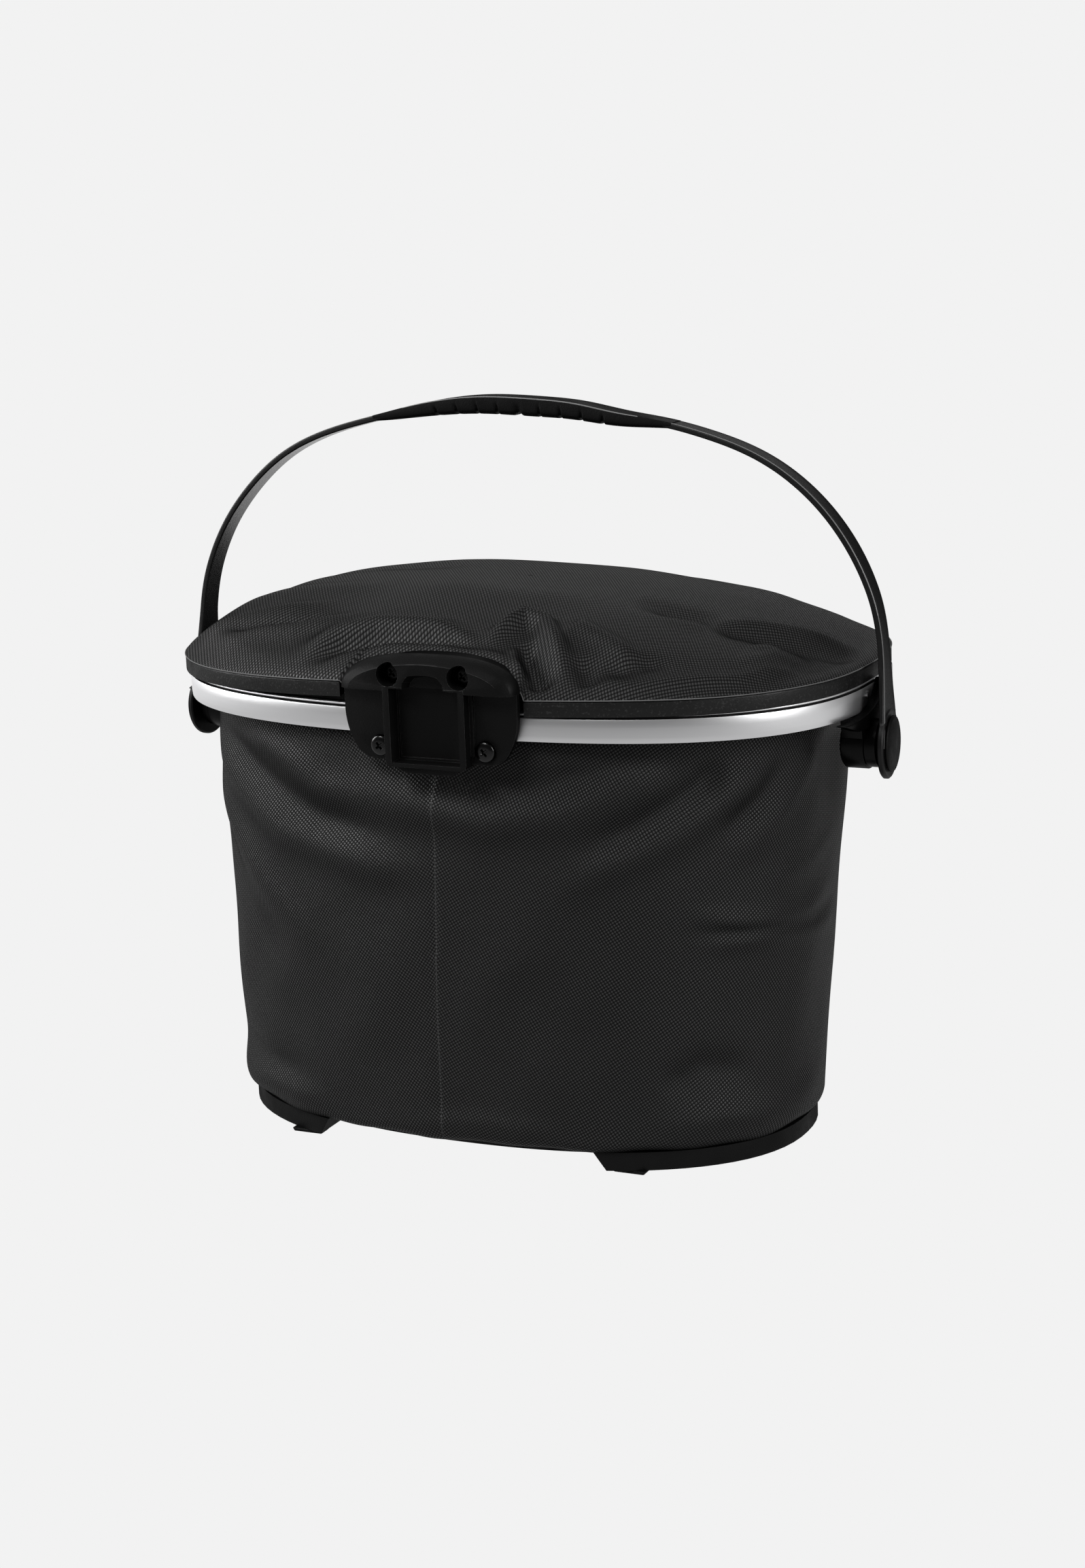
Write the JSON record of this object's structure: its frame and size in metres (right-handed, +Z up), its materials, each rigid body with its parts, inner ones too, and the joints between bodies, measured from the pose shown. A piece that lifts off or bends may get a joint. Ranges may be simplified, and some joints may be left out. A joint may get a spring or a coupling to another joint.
{
  "type": "handlebar basket",
  "caption": "Oval handlebar basket: aluminium rim, tapered black fabric bag, domed hinged fabric lid, swinging carry handle, footed base and a slide-on receiver for a bar bracket.",
  "frame": {"origin": "centre of the flat seat inside the receiver, where the handlebar bracket's plate rests", "axes": "+Z up, -Y out of the receiver towards the handlebar, +X to the right seen from the receiver side"},
  "size_m": [0.413, 0.2693, 0.3849],
  "materials": {
    "frame_aluminium": "satin bead-blasted",
    "bag_fabric": "coated woven polyester, slight sheen",
    "handle_metal": "black anodised or powder-coated strip",
    "plastic_matte": "fine spark-eroded grain",
    "plastic_gloss": "smooth, semi-gloss",
    "rubber_black": "matt",
    "screw_black": "black oxide",
    "screw_zinc": "zinc plated"
  },
  "bodies": {
    "basket": {"rim_frame": "frame_aluminium", "bag_welt": "plastic_matte", "bag_shell": "bag_fabric", "base_board": "plastic_matte", "base_plate": "plastic_matte", "receiver_plate": "plastic_matte", "receiver_clamp_plate": "plastic_matte", "receiver_screw_upper_left": "screw_black", "receiver_screw_lower_left": "screw_black", "receiver_nut_upper_left": "screw_zinc", "receiver_nut_lower_left": "screw_zinc", "hub_bracket_left": "plastic_gloss", "hub_bracket_screw_left": "screw_zinc", "pivot_washer_left": "plastic_matte", "pivot_bolt_left": "screw_zinc", "hinge_pin_left": "screw_zinc", "hinge_frame_leaf_left": "plastic_matte", "foot_near_left": "rubber_black", "foot_end_near_left": "rubber_black", "base_screw_near_left": "screw_zinc", "foot_far_left": "rubber_black", "foot_end_far_left": "rubber_black", "base_screw_far_left": "screw_zinc", "receiver_screw_upper_right": "screw_black", "receiver_screw_lower_right": "screw_black", "receiver_nut_upper_right": "screw_zinc", "receiver_nut_lower_right": "screw_zinc", "hub_bracket_right": "plastic_gloss", "hub_bracket_screw_right": "screw_zinc", "pivot_washer_right": "plastic_matte", "pivot_bolt_right": "screw_zinc", "hinge_pin_right": "screw_zinc", "hinge_frame_leaf_right": "plastic_matte", "foot_near_right": "rubber_black", "foot_end_near_right": "rubber_black", "base_screw_near_right": "screw_zinc", "foot_far_right": "rubber_black", "foot_end_far_right": "rubber_black", "base_screw_far_right": "screw_zinc"},
    "handle": {"handle_bow": "handle_metal", "handle_grip": "plastic_matte", "hub_cap_left": "plastic_gloss", "hub_cap_right": "plastic_gloss"},
    "lid": {"lid_cover": "bag_fabric", "lid_rim": "plastic_matte", "lid_lip": "rubber_black", "hinge_lid_leaf_left": "plastic_matte", "hinge_lid_leaf_right": "plastic_matte"}
  },
  "joints": [
    {"name": "handle_swing", "type": "hinge", "parent": "basket", "child": "handle", "pos_m": [0, 0.1172, -0.0236], "axis": [-1, 0, 0], "range_deg": [0, 120]},
    {"name": "lid_hinge", "type": "hinge", "parent": "basket", "child": "lid", "pos_m": [0, 0.2588, 0.0084], "axis": [-1, 0, 0], "range_deg": [0, 30]}
  ],
  "couplings": [
    {"joint": "lid_hinge", "follows": "handle_swing", "ratio": 0.25}
  ]
}
